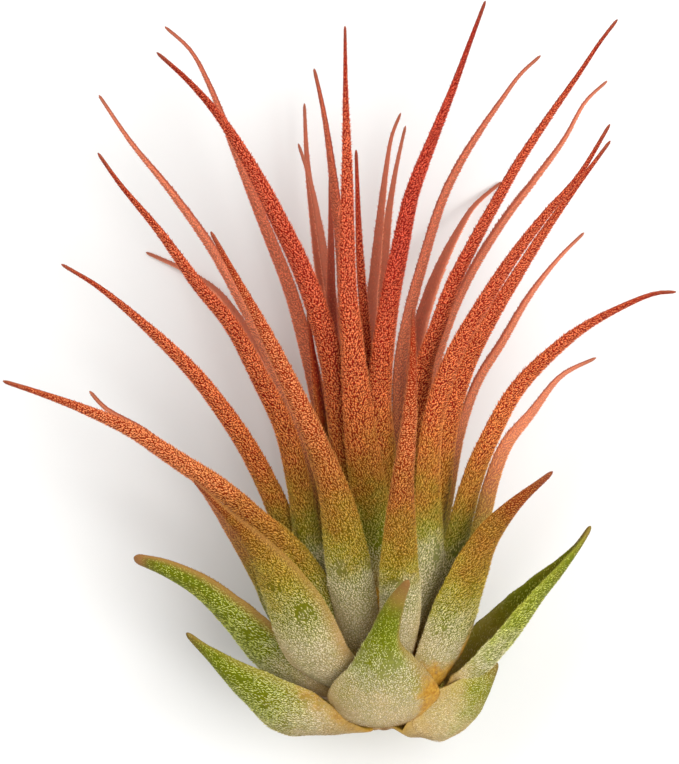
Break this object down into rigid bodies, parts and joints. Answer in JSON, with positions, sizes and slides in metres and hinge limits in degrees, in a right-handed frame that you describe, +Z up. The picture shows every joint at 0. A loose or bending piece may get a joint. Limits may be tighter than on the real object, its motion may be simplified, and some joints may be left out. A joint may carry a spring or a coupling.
{
  "type": "air plant",
  "caption": "Small air plant lying on its side, a short stem with a rosette of channelled, tapering leaves that flush from green to red.",
  "frame": {"origin": "on the surface the plant lies on, under the middle of its box", "axes": "+Y from the root end to the crown of leaf tips, +Z up from the surface"},
  "size_m": [0.0672, 0.074, 0.0406],
  "materials": {
    "green": "old leaf, green under silvery scales, cream to ochre at the sheath",
    "turning": "leaf turning from green through orange-brown to a salmon tip, under pale scales",
    "red": "young leaf, deep red at the tip and green to cream below, under peach and silver scales",
    "stem": "dry brown stem foot"
  },
  "bodies": {
    "root": {"stem": "stem", "leaf_middle_thin": "red", "leaf_heart_1": "red", "leaf_heart_2": "red", "leaf_mid_left": "red", "leaf_middle": "red", "leaf_right_1": "red", "leaf_back_mid": "red", "leaf_left_3": "red", "leaf_right_back_1": "red", "leaf_back_right_1": "red", "leaf_right_2": "red", "leaf_back_left_3": "red", "leaf_right_back_2": "red", "leaf_left_2": "red", "leaf_back_2": "red", "leaf_back_left_1": "red", "leaf_right_front_2": "red", "leaf_back_1": "red", "leaf_right_front_1": "red", "leaf_right_back_3": "red", "leaf_left_1": "red", "leaf_back_right_2": "red", "leaf_fore_left_2": "turning", "leaf_back_right_3": "red", "leaf_right_3": "red", "leaf_back_left_2": "red", "leaf_right_4": "red", "leaf_long_left": "turning", "leaf_fore_right_2": "turning", "leaf_under_long_left": "turning", "leaf_fore_left": "turning", "leaf_fore_right": "turning", "leaf_under_mid_right": "green", "leaf_under_mid_left": "green", "leaf_left": "green", "leaf_right": "green", "leaf_low_front": "green", "leaf_under_right": "green", "leaf_under_left": "green", "leaf_low_left": "green", "leaf_low_right": "green", "leaf_under_mid": "green"}
  },
  "joints": []
}
